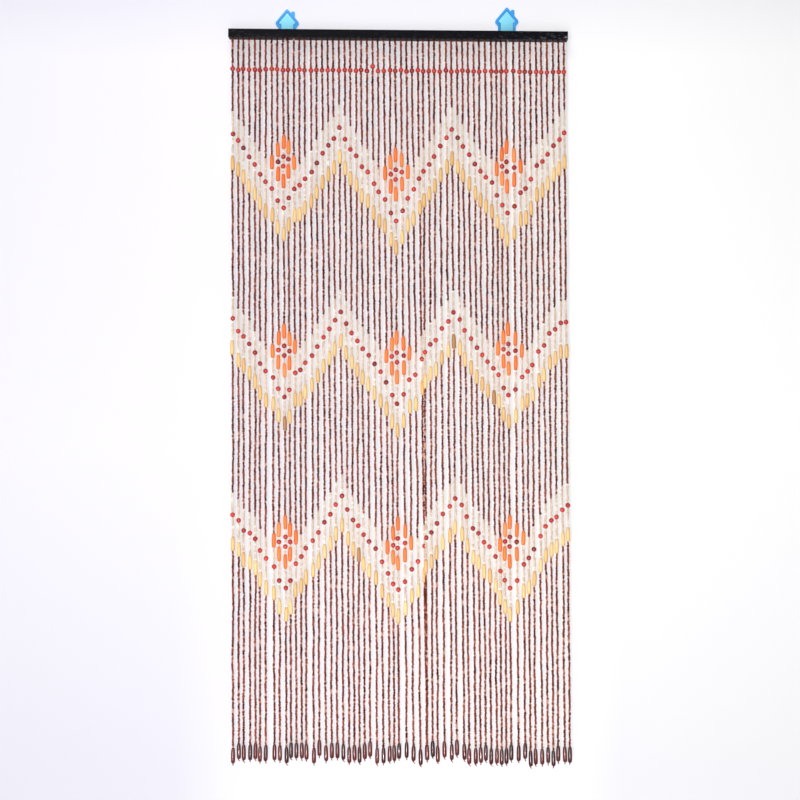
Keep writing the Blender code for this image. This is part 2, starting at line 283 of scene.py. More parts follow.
def meshArrays(piece):
    mesh = piece.data
    points = np.empty(len(mesh.vertices) * 3)
    mesh.vertices.foreach_get("co", points)
    corners = np.empty(len(mesh.loops), np.int32)
    mesh.loops.foreach_get("vertex_index", corners)
    counts = np.empty(len(mesh.polygons), np.int32)
    mesh.polygons.foreach_get("loop_total", counts)
    smooth = np.empty(len(mesh.polygons), bool)
    mesh.polygons.foreach_get("use_smooth", smooth)
    return points.reshape(-1, 3), corners, counts, smooth


def stringBeads(name, kind, places):
    # Every bead in the list, joined in one mesh, each with its own size, turn and tone.
    points, corners, counts, smooth = templates[kind]
    number = len(places)
    middle = np.array([place["at"] for place in places]) * mm
    size = np.array([(place["wide"], place["wide"], place["long"]) for place in places])
    turn = np.array([place["turn"] for place in places])
    slope = np.array([place["slope"] for place in places])
    shaped = points[None] * size[:, None]
    cosine, sine = np.cos(turn)[:, None], np.sin(turn)[:, None]
    x = shaped[..., 0] * cosine - shaped[..., 1] * sine
    y = shaped[..., 0] * sine + shaped[..., 1] * cosine
    z = shaped[..., 2]
    x = x + z * slope[:, None, 0]
    y = y + z * slope[:, None, 1]
    made = np.stack((x, y, z), axis=-1) + middle[:, None]

    mesh = bpy.data.meshes.new(name)
    mesh.vertices.add(number * len(points))
    mesh.vertices.foreach_set("co", made.ravel())
    steps = np.arange(number)[:, None] * len(points)
    mesh.loops.add(number * len(corners))
    mesh.loops.foreach_set("vertex_index", (corners[None] + steps).ravel().astype(np.int32))
    totals = np.tile(counts, number)
    mesh.polygons.add(len(totals))
    mesh.polygons.foreach_set("loop_start", np.concatenate(([0], np.cumsum(totals)[:-1])))
    mesh.polygons.foreach_set("loop_total", totals)
    mesh.polygons.foreach_set("use_smooth", np.tile(smooth, number))
    mesh.update(calc_edges=True)

    tone = mesh.attributes.new("tone", "FLOAT", "POINT")
    tones = np.repeat([place["tone"] for place in places], len(points))
    tone.data.foreach_set("value", tones.astype(np.float32))
    along = mesh.attributes.new("along", "FLOAT", "POINT")
    share = points[:, 2] / np.abs(points[:, 2]).max()
    along.data.foreach_set("value", np.tile(share, number).astype(np.float32))
    piece = bpy.data.objects.new(name, mesh)
    bpy.context.scene.collection.objects.link(piece)
    return piece


def dress(piece, finish, slot, *nodes):
    piece.data.materials.clear()
    piece.data.materials.append(finish)
    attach(piece, "root")
    if nodes:
        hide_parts(*nodes)
    return piece


# Shader groups and finishes.

def newGroup(name, inputs, outputs):
    group = bpy.data.node_groups.new(name, "ShaderNodeTree")
    for title, kind, value in inputs:
        socket = group.interface.new_socket(title, in_out="INPUT", socket_type=kind)
        socket.default_value = value
    for title, kind in outputs:
        group.interface.new_socket(title, in_out="OUTPUT", socket_type=kind)
    entry = group.nodes.new("NodeGroupInput")
    leave = group.nodes.new("NodeGroupOutput")
    return group, entry.outputs, leave.inputs


def addNode(tree, kind, settings=(), inputs=()):
    node = tree.nodes.new(kind)
    for name, value in dict(settings).items():
        setattr(node, name, value)
    for name, value in dict(inputs).items():
        socket = node.inputs[name]
        if isinstance(value, bpy.types.NodeSocket):
            tree.links.new(value, socket)
        else:
            socket.default_value = value
    return node


def maths(tree, operation, first, second=0.0, clamp=False):
    node = addNode(tree, "ShaderNodeMath", {"operation": operation, "use_clamp": clamp},
                   {0: first, 1: second})
    return node.outputs[0]


def blendColours(tree, share, first, second, way="MIX"):
    node = addNode(tree, "ShaderNodeMix", {"data_type": "RGBA", "blend_type": way},
                   {0: share, 6: first, 7: second})
    return node.outputs[2]


def remap(tree, value, fromLow, fromHigh, toLow=0.0, toHigh=1.0):
    node = addNode(tree, "ShaderNodeMapRange", {},
                   {"Value": value, "From Min": fromLow, "From Max": fromHigh,
                    "To Min": toLow, "To Max": toHigh})
    return node.outputs["Result"]


def stretchedNoise(tree, stretch, scale, detail, distortion=0.0):
    place = addNode(tree, "ShaderNodeTexCoord").outputs["Object"]
    moved = addNode(tree, "ShaderNodeMapping", {}, {"Vector": place, "Scale": stretch})
    node = addNode(tree, "ShaderNodeTexNoise", {},
                   {"Vector": moved.outputs[0], "Scale": scale, "Detail": detail,
                    "Distortion": distortion})
    return node.outputs["Fac"]


def makeBeadWood():
    # Stained and lacquered wood: each bead's tone, upright grain and darker ends, partly stain
    # gathered at the holes and partly painted shade where beads meet.
    group, given, result = newGroup("beadWood", (
        ("Tone", "NodeSocketFloat", 0.5),
        ("Along", "NodeSocketFloat", 0.0),
        ("Deep", "NodeSocketColor", (0.1, 0.02, 0.02, 1)),
        ("Bright", "NodeSocketColor", (0.4, 0.1, 0.06, 1)),
        ("Odd", "NodeSocketColor", (0.6, 0.3, 0.2, 1)),
        ("Odd from", "NodeSocketFloat", 0.9),
        ("Grain", "NodeSocketFloat", 0.4),
        ("Grain scale", "NodeSocketFloat", 900.0),
        ("End shade", "NodeSocketFloat", 0.4),
        ("Polish", "NodeSocketFloat", 0.35),
    ), (("Color", "NodeSocketColor"), ("Roughness", "NodeSocketFloat"),
        ("Height", "NodeSocketFloat")))
    grain = stretchedNoise(group, (1, 1, 0.16), given["Grain scale"], 4.0, 0.6)
    mottle = stretchedNoise(group, (1, 1, 0.6), 160.0, 2.0)
    swing = maths(group, "MULTIPLY", maths(group, "SUBTRACT", grain, 0.5), given["Grain"])
    shade = maths(group, "ADD", given["Tone"], swing)
    drift = maths(group, "MULTIPLY", maths(group, "SUBTRACT", mottle, 0.5), 0.5)
    shade = maths(group, "ADD", shade, drift, clamp=True)
    stained = blendColours(group, shade, given["Deep"], given["Bright"])
    oddTo = maths(group, "ADD", given["Odd from"], 0.02)
    odd = remap(group, given["Tone"], given["Odd from"], oddTo)
    stained = blendColours(group, odd, stained, given["Odd"])
    # Painted shade: the colour darkens towards both ends of the bead, where it meets the next, most
    # on the round beads.
    ends = maths(group, "POWER", maths(group, "ABSOLUTE", given["Along"]), 4.0)
    ends = maths(group, "MULTIPLY", ends, given["End shade"])
    darker = blendColours(group, 1.0, stained, (0.4, 0.3, 0.3, 1), "MULTIPLY")
    group.links.new(blendColours(group, ends, stained, darker), result["Color"])
    uneven = maths(group, "MULTIPLY", maths(group, "SUBTRACT", grain, 0.5), 0.18)
    group.links.new(maths(group, "ADD", uneven, given["Polish"]), result["Roughness"])
    group.links.new(grain, result["Height"])
    return group


def makeScuffs():
    # Rubbed patches with fine scratches, strongest where Mask is high.
    group, given, result = newGroup("scuffs", (
        ("Mask", "NodeSocketFloat", 1.0),
        ("Amount", "NodeSocketFloat", 0.5),
        ("Scale", "NodeSocketFloat", 60.0),
        ("Base", "NodeSocketColor", (0.01, 0.01, 0.012, 1)),
        ("Worn", "NodeSocketColor", (0.2, 0.2, 0.22, 1)),
        ("Polish", "NodeSocketFloat", 0.4),
    ), (("Color", "NodeSocketColor"), ("Roughness", "NodeSocketFloat"),
        ("Height", "NodeSocketFloat")))
    patches = stretchedNoise(group, (1, 1, 1.6), given["Scale"], 3.0, 0.4)
    scratches = stretchedNoise(group, (0.12, 1, 1), 700.0, 5.0, 0.3)
    patch = remap(group, patches, 0.5, 0.72)
    scratch = remap(group, scratches, 0.5, 0.66)
    worn = maths(group, "MULTIPLY", patch, scratch)
    worn = maths(group, "MULTIPLY", worn, given["Mask"])
    worn = maths(group, "MULTIPLY", worn, given["Amount"], clamp=True)
    group.links.new(blendColours(group, worn, given["Base"], given["Worn"]), result["Color"])
    rough = maths(group, "ADD", given["Polish"], maths(group, "MULTIPLY", worn, 0.35))
    group.links.new(rough, result["Roughness"])
    group.links.new(maths(group, "SUBTRACT", scratches, worn), result["Height"])
    return group


def newFinish(name, group, values, bump, settings):
    material = bpy.data.materials.new(name)
    material.use_nodes = True
    tree = material.node_tree
    shader = tree.nodes["Principled BSDF"]
    for title, value in settings.items():
        shader.inputs[title].default_value = value
    placed = addNode(tree, "ShaderNodeGroup", {"node_tree": group}, values)
    relief = addNode(tree, "ShaderNodeBump", {},
                     {"Height": placed.outputs["Height"], "Strength": bump["strength"],
                      "Distance": bump["depth"] * mm})
    tree.links.new(placed.outputs["Color"], shader.inputs["Base Color"])
    tree.links.new(placed.outputs["Roughness"], shader.inputs["Roughness"])
    tree.links.new(relief.outputs["Normal"], shader.inputs["Normal"])
    return material, placed


def beadFinish(name, look):
    material, placed = newFinish(name, beadWood, {
        "Deep": look["deep"], "Bright": look["bright"], "Odd": look["odd"],
        "Odd from": look.get("oddFrom", 0.9), "Grain": look["grain"],
        "Grain scale": look["grainScale"], "End shade": look["endShade"],
        "Polish": look["polish"],
    }, {"strength": 0.25, "depth": look["relief"]},
        {"Specular IOR Level": look["specular"], "Coat Weight": 0.0,
         "Coat Roughness": look["coatRoughness"], "Coat IOR": 2.3})
    tree = material.node_tree
    if look["coat"]:
        # Thin lacquer: glossy where it faces the eye, matt along the bead's outline.
        facing = addNode(tree, "ShaderNodeLayerWeight", {}, {"Blend": 0.5}).outputs["Facing"]
        gloss = remap(tree, facing, 0.02, 0.2, look["coat"], 0.0)
        tree.links.new(gloss, tree.nodes["Principled BSDF"].inputs["Coat Weight"])
    for attribute, socket in (("tone", "Tone"), ("along", "Along")):
        node = addNode(tree, "ShaderNodeAttribute", {"attribute_name": attribute})
        tree.links.new(node.outputs["Fac"], placed.inputs[socket])
    return material


# endShade is painted shade on each bead's ends.
beadLooks = {
    "brown": {"deep": (0.1, 0.008, 0.003, 1), "bright": (0.39, 0.073, 0.028, 1),
              "odd": (0.7, 0.34, 0.24, 1), "grain": 0.6, "grainScale": 700.0,
              "endShade": 0.5, "polish": 0.5, "relief": 0.1, "specular": 0.03,
              "coat": 0.0, "coatRoughness": 0.3, "oddFrom": 0.96},
    "cream": {"deep": (0.72, 0.54, 0.4, 1), "bright": (0.92, 0.77, 0.61, 1),
              "odd": (0.95, 0.88, 0.76, 1), "grain": 0.5, "grainScale": 600.0,
              "endShade": 0.4, "polish": 0.5, "relief": 0.1, "specular": 0.15,
              "coat": 0.0, "coatRoughness": 0.3, "oddFrom": 0.86},
    "red": {"deep": (0.36, 0.014, 0.011, 1), "bright": (0.74, 0.056, 0.03, 1),
            "odd": (0.24, 0.013, 0.013, 1), "grain": 0.4, "grainScale": 420.0,
            "endShade": 1.0, "polish": 0.4, "relief": 0.12, "specular": 0.06,
            "coat": 0.5, "coatRoughness": 0.32, "oddFrom": 0.82},
    "orange": {"deep": (0.88, 0.18, 0.028, 1), "bright": (1.0, 0.28, 0.06, 1),
               "odd": (1.0, 0.31, 0.085, 1), "grain": 0.7, "grainScale": 420.0,
               "endShade": 0.4, "polish": 0.42, "relief": 0.14, "specular": 0.1,
               "coat": 0.15, "coatRoughness": 0.3, "oddFrom": 0.8},
    "straw": {"deep": (0.74, 0.43, 0.145, 1), "bright": (0.97, 0.66, 0.28, 1),
              "odd": (0.46, 0.21, 0.065, 1), "grain": 0.7, "grainScale": 420.0,
              "endShade": 0.35, "polish": 0.4, "relief": 0.16, "specular": 0.2,
              "coat": 0.28, "coatRoughness": 0.28, "oddFrom": 0.97},
    "dark": {"deep": (0.04, 0.003, 0.002, 1), "bright": (0.14, 0.011, 0.007, 1),
             "odd": (0.22, 0.024, 0.017, 1), "grain": 0.6, "grainScale": 420.0,
             "endShade": 0.5, "polish": 0.35, "relief": 0.14, "specular": 0.05,
             "coat": 0.48, "coatRoughness": 0.22, "oddFrom": 0.9},
    "tail": {"deep": (0.14, 0.018, 0.013, 1), "bright": (0.36, 0.09, 0.06, 1),
             "odd": (0.5, 0.26, 0.2, 1), "grain": 0.8, "grainScale": 2600.0,
             "endShade": 0.0, "polish": 0.75, "relief": 0.2, "specular": 0.1,
             "coat": 0.0, "coatRoughness": 0.4},
    "thread": {"deep": (0.6, 0.42, 0.36, 1), "bright": (0.78, 0.62, 0.55, 1),
               "odd": (0.8, 0.7, 0.6, 1), "grain": 0.8, "grainScale": 2600.0,
               "endShade": 0.0, "polish": 0.75, "relief": 0.2, "specular": 0.1,
               "coat": 0.0, "coatRoughness": 0.4},
    "knot": {"deep": (0.14, 0.018, 0.014, 1), "bright": (0.4, 0.08, 0.05, 1),
             "odd": (0.5, 0.2, 0.15, 1), "grain": 0.8, "grainScale": 2600.0,
             "endShade": 0.2, "polish": 0.7, "relief": 0.3, "specular": 0.1,
             "coat": 0.0, "coatRoughness": 0.4},
}


# Where every bead hangs.

def evenX(strand):
    return (strand - (curtain["strands"] - 1) / 2) * curtain["pitch"]


def railTopAt(x):
    return -x * math.tan(curtain["railTilt"])


def chart(strand):
    # The large beads of one strand, top to bottom: kind, drop of its middle, row.
    *rows, end = strungAs[strand][2:]
    away = min(abs(strand - valley) for valley in curtain["valleys"])
    high = curtain["highStep"] if strand == curtain["highStrand"] else 0
    fall = curtain["topRowFall"] * (strand / (curtain["strands"] - 1) - 0.5)
    strung = [("round", curtain["topRow"] + fall - high, 0)]
    for row, middle in enumerate(rows, 1):
        for kind, above in diamond.get(away, ()):
            strung.append((kind, middle - above, row))
        strung.append(("round", middle, row))
        drop = curtain["valleyDrop"] if away < 3 else curtain["strawDrop"]
        strung.append(("straw", middle + drop, row))
    strung.append(("tip", end, 4))
    return strung


def strandLine(strand, strung, noise, toss):
    # A leaning line that strays a little: gives x, y and both slopes for any drop.
    root, tip = strungAs[strand][:2]
    start = curtain["railHeight"] - railTopAt(evenX(strand))
    end = strung[-1][1] + beads["tip"]["length"] / 2
    sway = curtain["tipSway"]
    back = noise.uniform(-sway, sway) if strand != curtain["behindStrand"] else curtain["behind"]
    slopeX, slopeY = (tip - root) / (end - start), back / (end - start)
    waves = [(2 * math.pi / length, toss.uniform(0.3, 1) * most, toss.uniform(0, 2 * math.pi))
             for length, most in wander]

    def at(drop):
        down = drop - start
        held = curtain["heldOver"]
        free = min(1, down / held) * min(1, max(0, end - drop) / held)
        strayed = sum(most * math.sin(rate * down + phase) for rate, most, phase in waves)
        turned = sum(rate * most * math.cos(rate * down + phase) for rate, most, phase in waves)
        x = evenX(strand) + root + slopeX * down + free * strayed
        y = -curtain["stringsFromWall"] + slopeY * down
        return x, y, -slopeX - free * turned, -slopeY
    return at, start, end


def place(line, drop, toss, tone=None, wide=1.0, long=1.0, play=0.0, tilt=0.0):
    x, y, slopeX, slopeY = line(drop)
    return {
        "at": (x + toss.uniform(-play, play), y + toss.uniform(-play, play), -drop),
        "wide": wide,
        "long": long,
        "turn": toss.uniform(0, 2 * math.pi),
        "slope": (slopeX + toss.uniform(-tilt, tilt), slopeY + toss.uniform(-tilt, tilt)),
        "tone": toss.random() if tone is None else tone,
    }


def fillRun(line, top, bottom, creamFrom, toss, strung):
    # Small beads strung from one large bead to the next, stretched to fill the run.
    sizes = []
    total = 0.0
    fewest, most = smallBeads["paleShare"]
    paleShare = fewest + (most - fewest) * top / strungAs[0][-1]
    alike = 0
    while total < bottom - top:
        if alike == 0:
            alike = toss.randint(*smallBeads["alike"])
            common = toss.uniform(*smallBeads["stretchTone"])
        alike -= 1
        cream = top + total > creamFrom
        pale = toss.random() < paleShare and not cream
        kind = "creamLength" if cream else "paleLength" if pale else "brownLength"
        length = toss.uniform(*smallBeads[kind])
        gap = toss.uniform(*smallBeads["gap"])
        spread = smallBeads["spread"]
        if pale:
            tone = 1.0
        else:
            tone = max(0, common + toss.uniform(-spread, spread))
            tone = min(smallBeads["mostTone"], tone)
        sizes.append((length, gap, tone))
        total += length + gap
    for ending in (0, -1):
        if top > creamFrom and toss.random() < smallBeads["whiteShare"]:
            length, gap, tone = sizes[ending]
            sizes[ending] = length, gap, 1.0
    fit = (bottom - top) / total
    drop = top
    for length, gap, tone in sizes:
        middle = drop + fit * (gap + length) / 2
        wider = smallBeads["creamWider"] if middle > creamFrom else 1
        bead = place(line, middle, toss, tone, wide=toss.uniform(*smallBeads["width"]) * wider,
                     long=length * fit / beads["small"]["length"],
                     play=smallBeads["play"], tilt=smallBeads["tilt"])
        strung["cream" if middle > creamFrom else "brown"].append(bead)
        drop += fit * (gap + length)


def largeTone(kind, row, strand, toss):
    if kind == "straw" and (row, strand) in browned:
        return largeBeads["brownTone"]
    if kind == "straw" and (row, strand) in whitened:
        return largeBeads["paleTone"]
    return toss.random() * largeBeads["mostTone"]


def stringPanel(first, noise, toss):
    strung = {kind: [] for kind in ("brown", "cream", "red", "orange", "straw", "dark",
                                    "thread", "knot", "tail")}
    for strand in range(first, first + curtain["strandsOnStrip"]):
        large = chart(strand)
        line, start, end = strandLine(strand, large, noise, toss)
        away = min(abs(strand - valley) for valley in curtain["valleys"])
        drop = start
        for number, (kind, middle, row) in enumerate(large):
            if row == 0:
                middle += toss.uniform(-curtain["topRowJitter"], curtain["topRowJitter"])
            half = beads[kind]["length"] / 2
            above = large[number - 1] if number else None
            if row in (0, 4) or (away < 3 and (above is None or above[2] != row)):
                creamFrom = middle           # brown right down to this bead
            elif above[2] == row:
                creamFrom = drop - 1         # cream all the way inside the pattern
            else:
                creamFrom = middle - curtain["creamAbove"]
            fillRun(line, drop, middle - half, creamFrom, toss, strung)
            colour = {"round": "red", "tip": "dark"}.get(kind, kind)
            tone = largeTone(kind, row, strand, toss)
            tilt = largeBeads["roundTilt" if kind == "round" else "tilt"]
            bead = place(line, middle, toss, tone, wide=toss.uniform(*largeBeads["width"]),
                         long=toss.uniform(*largeBeads["length"]),
                         play=largeBeads["play"], tilt=tilt)
            strung[colour].append(bead)
            drop = middle + half
        strung["thread"] += threadOf(line, start, end, toss)
        play = stringEnds["play"]
        strung["knot"].append(place(line, end + stringEnds["knotBelow"], toss, play=play,
                                    tilt=stringEnds["knotTilt"],
                                    wide=toss.uniform(*stringEnds["knotWidth"])))
        tail = place(line, end + stringEnds["tailBelow"], toss, play=play,
                     wide=stringEnds["tailWidth"], long=toss.uniform(*stringEnds["tailLength"]))
        tail["slope"] = (toss.uniform(*stringEnds["tailSlant"]),
                         toss.uniform(*stringEnds["tailSlantBack"]))
        strung["tail"].append(tail)
    return strung


def threadOf(line, start, end, toss):
    # The thread in short straight lengths, so that it strays with its beads.
    number = int((end - start) / stringEnds["threadPiece"])
    step = (end - start) / number
    return [place(line, start + (part + 0.5) * step, toss, long=step + stringEnds["threadLap"])
            for part in range(number)]


# The rail's strips, hooks and ties.

strip = {"width": 6.4, "height": 4.6, "hole": 4.6, "holeDepth": 3.0, "gap": 0.3}


def makeStrip(panel, first):
    # A black strip with a drilled hole for each string, let into the rail's underside.
    left = evenX(first) - curtain["pitch"] / 2 + strip["gap"] / 2
    long = curtain["strandsOnStrip"] * curtain["pitch"] - strip["gap"]
    low = -curtain["railHeight"]
    bpy.ops.object.select_all(action="DESELECT")
    bpy.ops.mesh.primitive_cube_add(size=1, location=(
        (left + long / 2) * mm, -curtain["stringsFromWall"] * mm, (low + strip["height"] / 2) * mm))
    piece = namePiece("strip_" + panel)
    piece.scale = (long * mm, strip["width"] * mm, strip["height"] * mm)
    bpy.ops.object.transform_apply(location=True, rotation=True, scale=True)
    drills = []
    for strand in range(first, first + curtain["strandsOnStrip"]):
        bpy.ops.mesh.primitive_cylinder_add(
            vertices=16, radius=strip["hole"] / 2 * mm, depth=strip["holeDepth"] * 2 * mm,
            location=((evenX(strand) + strungAs[strand][0]) * mm,
                      -curtain["stringsFromWall"] * mm, low * mm))
        drills.append(bpy.context.active_object)
    bpy.ops.object.select_all(action="DESELECT")
    for drill in drills:
        drill.select_set(True)
    bpy.context.view_layer.objects.active = drills[0]
    bpy.ops.object.join()
    drilled = piece.modifiers.new("drilled", "BOOLEAN")
    drilled.object = drills[0]
    drilled.solver = "EXACT"
    bpy.ops.object.select_all(action="DESELECT")
    piece.select_set(True)
    bpy.context.view_layer.objects.active = piece
    bpy.ops.object.modifier_apply(modifier="drilled")
    bpy.data.objects.remove(drills[0], do_unlink=True)
    piece.rotation_euler.y = curtain["railTilt"]
    bpy.ops.object.transform_apply(location=True, rotation=True, scale=True)
    return piece


def cleanCopy(node, name):
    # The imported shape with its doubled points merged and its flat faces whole.
    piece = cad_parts[node].copy()
    piece.data = piece.data.copy()
    piece.name = name
    piece.data.name = name
    for key in list(piece.keys()):
        del piece[key]
    piece.parent = None
    bpy.context.scene.collection.objects.link(piece)
    bpy.ops.object.select_all(action="DESELECT")
    piece.select_set(True)
    bpy.context.view_layer.objects.active = piece
    bpy.ops.object.mode_set(mode="EDIT")
    bpy.ops.mesh.select_all(action="SELECT")
    bpy.ops.mesh.remove_doubles(threshold=0.01 * mm)
    bpy.ops.mesh.dissolve_limited(angle_limit=math.radians(1))
    bpy.ops.object.mode_set(mode="OBJECT")
    return piece


def easeEdges(piece, width):
    eased = piece.modifiers.new("eased", "BEVEL")
    eased.width = width * mm
    eased.segments = 3
    eased.limit_method = "ANGLE"
    eased.angle_limit = math.radians(30)
    bpy.ops.object.modifier_apply(modifier="eased")
    bpy.ops.object.shade_smooth_by_angle(angle=math.radians(35))


hook = {
    "across": {"left": -297, "right": 291},
    "stack": (11.0, 20.3),               # the chimney's sides, out from the middle
    "stackLower": 3.0,
    "stackCorner": 3.2,
    "recessFloor": -2.6,
    "edge": 0.7,
    "inlayEdge": 0.3,
    "blue": (0.03, 0.35, 0.85),
    # painted shade in the groove round the panel
    "groove": (0.012, 0.13, 0.3),
    "pale": (0.24, 0.74, 0.95),
}


def roundStack(piece, side):
    # The chimney's top comes down a little and its corners are rounded.
    mesh = piece.data
    roof = max(corner.co.z for corner in mesh.vertices)
    tops = []
    for out in hook["stack"]:
        x = (hook["across"][side] + out) * mm
        tops.append({corner.index for corner in mesh.vertices
                     if abs(corner.co.x - x) < 0.2 * mm and corner.co.z > roof - 9 * mm})
    bpy.ops.object.mode_set(mode="EDIT")
    bpy.ops.mesh.select_mode(type="VERT")
    bpy.ops.mesh.select_all(action="DESELECT")
    bpy.ops.object.mode_set(mode="OBJECT")
    for index in tops[0] | tops[1]:
        mesh.vertices[index].select = True
    bpy.ops.object.mode_set(mode="EDIT")
    bpy.ops.transform.translate(value=(0, 0, -hook["stackLower"] * mm))
    bpy.ops.mesh.select_mode(type="EDGE")
    bpy.ops.mesh.select_all(action="DESELECT")
    bpy.ops.object.mode_set(mode="OBJECT")
    for edge in mesh.edges:
        edge.select = any(set(edge.vertices) <= top for top in tops)
    bpy.ops.object.mode_set(mode="EDIT")
    bpy.ops.mesh.bevel(offset=hook["stackCorner"] * mm, segments=5, affect="EDGES")
    bpy.ops.mesh.select_mode(type="VERT")
    bpy.ops.object.mode_set(mode="OBJECT")


def makePlate(side, blue, groove):
    piece = cleanCopy("hook_" + side, "plate_" + side)
    roundStack(piece, side)
    easeEdges(piece, hook["edge"])
    dress(piece, blue, "blue_plastic", "hook_" + side)
    # Painted shade: the recess floor round the panel gets a darker blue.
    piece.data.materials.append(groove)
    for face in piece.data.polygons:
        if face.normal.y < -0.9 and abs(face.center.y - hook["recessFloor"] * mm) < 0.3 * mm:
            face.material_index = 1
    return piece


def makeInlay(side, paleBlue):
    piece = cleanCopy("hook_panel_" + side, "inlay_" + side)
    easeEdges(piece, hook["inlayEdge"])
    return dress(piece, paleBlue, "pale_blue_plastic", "hook_panel_" + side)


def plainMask(tree, axis, low, high):
    # Rises from 0 to 1 as the chosen object coordinate goes from low to high.
    coordinates = addNode(tree, "ShaderNodeTexCoord").outputs["Object"]
    split = addNode(tree, "ShaderNodeSeparateXYZ", {}, {0: coordinates})
    return remap(tree, split.outputs[axis], low, high)


railLook = {
    "stain": (0.006, 0.006, 0.008, 1),
    "rubbed": (0.2, 0.21, 0.25, 1),
    "amount": 0.9,
    "scale": 75.0,
    "polish": 0.34,
    "gloss": 0.045,
    "lower": (-4, -20),                  # rubbed more and more from here down, in mm
    "right": (0.22, 0.42),               # and from here out to the ends, in metres
    "left": (-0.3, -0.42),
    "leftShare": 0.6,
    "middleShare": 0.2,
    "upperShare": 0.35,
}


def railFinish():
    # Black stain, satin, rubbed grey along the lower edge and towards the ends.
    material, placed = newFinish("blackWood", scuffs, {
        "Amount": railLook["amount"], "Scale": railLook["scale"], "Base": railLook["stain"],
        "Worn": railLook["rubbed"], "Polish": railLook["polish"],
    }, {"strength": 0.3, "depth": 0.2}, {"Specular IOR Level": railLook["gloss"]})
    tree = material.node_tree
    high, low = railLook["lower"]
    lower = plainMask(tree, "Z", high * mm, low * mm)
    rightEnd = plainMask(tree, "X", *railLook["right"])
    leftEnd = maths(tree, "MULTIPLY", plainMask(tree, "X", *railLook["left"]),
                    railLook["leftShare"])
    ends = maths(tree, "ADD", maths(tree, "ADD", rightEnd, leftEnd), railLook["middleShare"])
    rubbed = maths(tree, "MULTIPLY", ends, maths(tree, "ADD", lower, railLook["upperShare"]))
    tree.links.new(rubbed, placed.inputs["Mask"])
    return material


def plasticFinish(name, base, polish):
    worn = tuple(min(1.0, channel * 1.15 + 0.02) for channel in base)
    material, placed = newFinish(name, scuffs, {
        "Mask": 1.0, "Amount": 0.25, "Scale": 90.0, "Base": (*base, 1), "Worn": (*worn, 1),
        "Polish": polish,
    }, {"strength": 0.12, "depth": 0.1}, {"Coat Weight": 0.1, "Coat Roughness": 0.35})
    return material


tieLook = {
    "dark": (0.4, 0.38, 0.35, 1),
    "light": (0.78, 0.76, 0.72, 1),
    "twist": 420.0,
    "depth": 0.3,
}


def cordFinish():
    # Two-ply twist drawn as slanting bands round the tie.
    material = bpy.data.materials.new("lightCord")
    material.use_nodes = True
    tree = material.node_tree
    shader = tree.nodes["Principled BSDF"]
    coordinates = addNode(tree, "ShaderNodeTexCoord").outputs["Object"]
    turned = addNode(tree, "ShaderNodeMapping", {}, {"Vector": coordinates,
                                                     "Rotation": (0.7, 0.7, 0)})
    twist = addNode(tree, "ShaderNodeTexWave", {"wave_type": "BANDS", "bands_direction": "Z"},
                    {"Vector": turned.outputs[0], "Scale": tieLook["twist"], "Distortion": 1.5})
    colour = blendColours(tree, twist.outputs["Fac"], tieLook["dark"], tieLook["light"])
    relief = addNode(tree, "ShaderNodeBump", {}, {"Height": twist.outputs["Fac"],
                                                  "Strength": 0.6,
                                                  "Distance": tieLook["depth"] * mm})
    tree.links.new(colour, shader.inputs["Base Color"])
    tree.links.new(relief.outputs["Normal"], shader.inputs["Normal"])
    shader.inputs["Roughness"].default_value = 0.8
    return material


# Loose ends of the ties below the rail: middle, length and lean.
tieEnds = {
    "wide": 1.5,
    "left": {"at": (-300, -33, -25), "long": 10, "lean": 0.15},
    "right": {"at": (290.5, -33, -27), "long": 13, "lean": -0.9},
}


def makeTieEnd(side, cord):
    end = tieEnds[side]
    piece = stringBeads("tie_end_" + side, "thread", [{
        "at": end["at"], "wide": tieEnds["wide"], "long": end["long"], "turn": 0,
        "slope": (end["lean"], 0), "tone": 0.5}])
    return dress(piece, cord, "cord")


# Camera, wall, floor and lights.

# The frame's width is what the camera takes in at the rail's front, in metres.
view = {"sensor": 36, "distance": 3.0, "frameWidth": 2.1176, "x": 0.005, "z": -0.980}


def makeCamera():
    data = bpy.data.cameras.new("camera")
    data.sensor_width = view["sensor"]
    data.lens = view["sensor"] * view["distance"] / view["frameWidth"]
    camera = bpy.data.objects.new("camera", data)
    camera.location = (view["x"], railFront - view["distance"], view["z"])
    camera.rotation_euler = (math.pi / 2, 0, 0)
    bpy.context.scene.collection.objects.link(camera)
    bpy.context.scene.camera = camera


studio = {
    "size": 12.0,
    "behind": 0.4,                       # millimetres from the wall plane to the paper
    "floor": -3.0,
    "floorColour": (0.8, 0.8, 0.82, 1),
    "floorGlow": 0.15,
    "left": (0.915, 0.905, 0.965, 1),
    "right": (1.0, 1.0, 1.0, 1),
    "from": -0.7,                        # where the paper starts to grow lighter to the right: painted light
    "to": 0.7,
    "glowAtTop": 0.55,                   # share of its brightness that is painted glow rather than lit
    "glowAtFoot": 0.78,
    "foot": (0.9, 0.9, 0.93, 1),         # painted shade on its lower corners
    "footFrom": -1.1,
    "footTo": -2.0,
    "cornerFrom": 0.4,                   # out from the middle, to both sides
    "cornerTo": 0.6,
    "head": (0.92, 0.92, 0.95, 1),       # and painted shade on its top
    "headFrom": -0.06,
    "headTo": 0.1,
}


def newPaper(name):
    # Matt paper that is clear from behind, so that the curtain's back can be seen.
    material = bpy.data.materials.new(name)
    material.use_nodes = True
    tree = material.node_tree
    shader = tree.nodes["Principled BSDF"]
    shader.inputs["Base Color"].default_value = studio["floorColour"]
    shader.inputs["Roughness"].default_value = 0.9
    shader.inputs["Specular IOR Level"].default_value = 0.0
    clear = addNode(tree, "ShaderNodeBsdfTransparent")
    behind = addNode(tree, "ShaderNodeNewGeometry").outputs["Backfacing"]
    either = addNode(tree, "ShaderNodeMixShader", {}, {0: behind, 1: shader.outputs[0],
                                                       2: clear.outputs[0]})
    tree.links.new(either.outputs[0], tree.nodes["Material Output"].inputs["Surface"])
    return material, tree, shader


